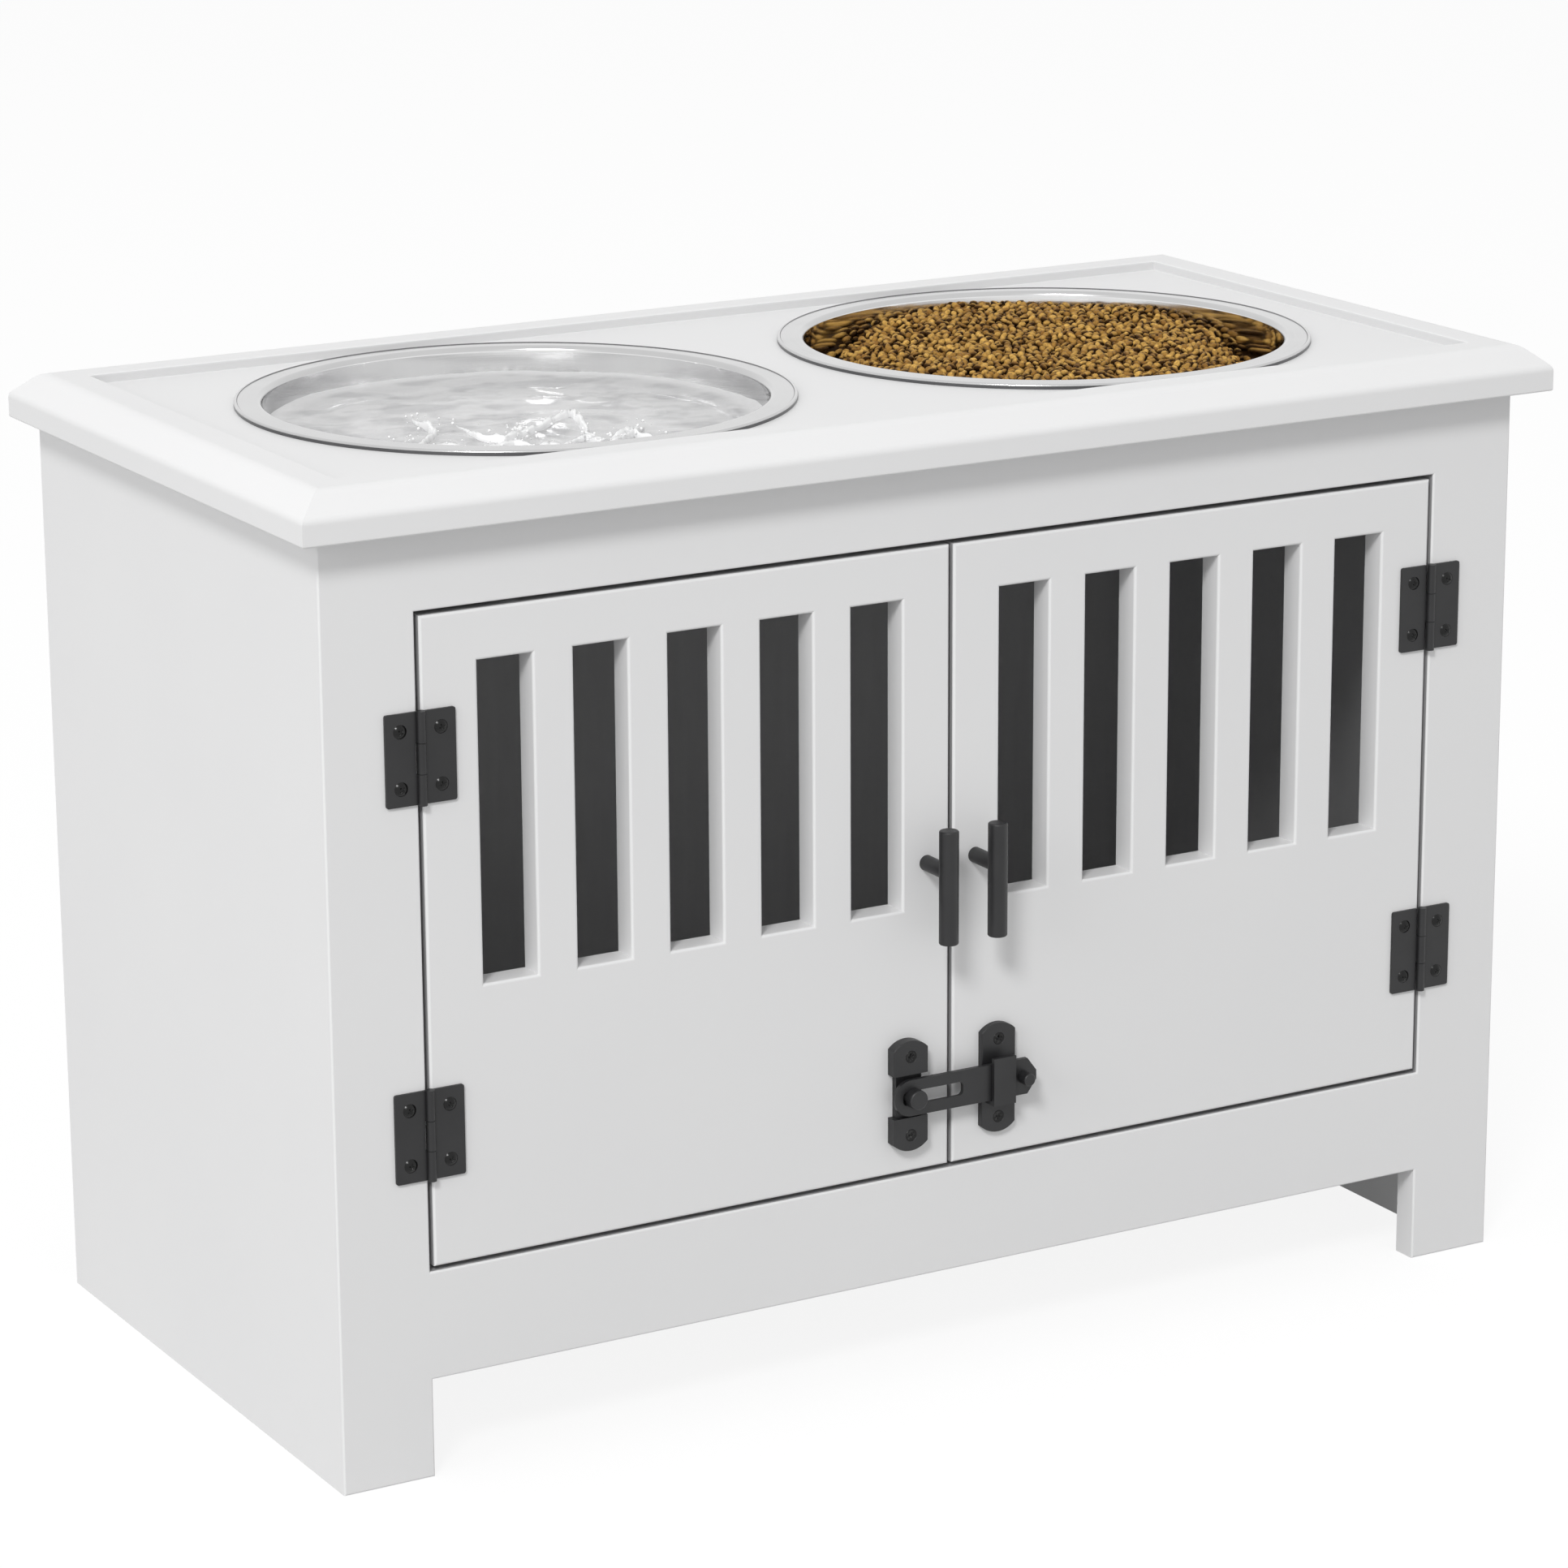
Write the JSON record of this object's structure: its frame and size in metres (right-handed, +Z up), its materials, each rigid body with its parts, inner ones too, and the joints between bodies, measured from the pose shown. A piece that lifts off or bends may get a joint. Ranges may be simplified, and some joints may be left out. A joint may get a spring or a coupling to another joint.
{
  "type": "elevated dog feeder with storage",
  "caption": "Raised feeding stand: white storage cabinet with slotted hinged doors, bar handles and a flip latch, under a recessed top that holds lift-out steel bowls",
  "frame": {"origin": "centre of the bounding box at floor level", "axes": "+X to the right seen from the front, +Y from the doors to the back, +Z up"},
  "size_m": [0.6, 0.3082, 0.418],
  "materials": {
    "white_board": "fibreboard with smooth satin white paint",
    "dark_board": "thin fibreboard with a matt dark grey face",
    "black_metal": "satin black powder coat on steel",
    "bowl_steel": "polished stainless steel with fine turning marks",
    "zinc_steel": "zinc plated steel",
    "dowel_wood": "bare beech"
  },
  "bodies": {
    "cabinet": {"back_panel": "dark_board", "back_panel_screws": "zinc_steel", "bottom_shelf": "white_board", "bracket_screws": "zinc_steel", "cleat_screws": "zinc_steel", "corner_brackets": "zinc_steel", "door_stop": "white_board", "frame_dowels": "dowel_wood", "front_frame": "white_board", "hinge_lower_left_frame_leaf": "black_metal", "hinge_lower_left_pin": "black_metal", "hinge_lower_right_frame_leaf": "black_metal", "hinge_lower_right_pin": "black_metal", "hinge_screws_frame": "black_metal", "hinge_upper_left_frame_leaf": "black_metal", "hinge_upper_left_pin": "black_metal", "hinge_upper_right_frame_leaf": "black_metal", "hinge_upper_right_pin": "black_metal", "shelf_cleat_left": "white_board", "shelf_cleat_right": "white_board", "side_panel_left": "white_board", "side_panel_right": "white_board", "top_moulding_back": "white_board", "top_moulding_front": "white_board", "top_moulding_left": "white_board", "top_moulding_right": "white_board", "top_panel": "white_board"},
    "door_left": {"door_left": "white_board", "handle_bar_left": "black_metal", "handle_post_left": "black_metal", "handle_screw_left": "zinc_steel", "hinge_lower_left_door_leaf": "black_metal", "hinge_screws_door_left": "black_metal", "hinge_upper_left_door_leaf": "black_metal", "latch_base": "black_metal", "latch_base_screws": "black_metal", "latch_pin": "black_metal"},
    "door_right": {"door_right": "white_board", "handle_bar_right": "black_metal", "handle_post_right": "black_metal", "handle_screw_right": "zinc_steel", "hinge_lower_right_door_leaf": "black_metal", "hinge_screws_door_right": "black_metal", "hinge_upper_right_door_leaf": "black_metal", "latch_catch": "black_metal", "latch_catch_screws": "black_metal"},
    "latch_bar": {"latch_bar": "black_metal", "latch_knob": "black_metal"},
    "bowl_left": {"bowl_left": "bowl_steel"},
    "bowl_right": {"bowl_right": "bowl_steel"}
  },
  "joints": [
    {"name": "door_left_hinge", "type": "hinge", "parent": "cabinet", "child": "door_left", "pos_m": [-0.246, -0.1338, 0.2265], "axis": [0, 0, -1], "range_deg": [0, 165]},
    {"name": "door_right_hinge", "type": "hinge", "parent": "cabinet", "child": "door_right", "pos_m": [0.246, -0.1338, 0.2265], "axis": [0, 0, 1], "range_deg": [0, 165]},
    {"name": "latch_flip", "type": "hinge", "parent": "door_left", "child": "latch_bar", "pos_m": [-0.0225, -0.1384, 0.1265], "axis": [0, -1, 0], "range_deg": [0, 90]},
    {"name": "bowl_left_lift", "type": "slide", "parent": "cabinet", "child": "bowl_left", "axis": [0, 0, 1], "range_m": [0, 0.12]},
    {"name": "bowl_right_lift", "type": "slide", "parent": "cabinet", "child": "bowl_right", "axis": [0, 0, 1], "range_m": [0, 0.12]}
  ]
}
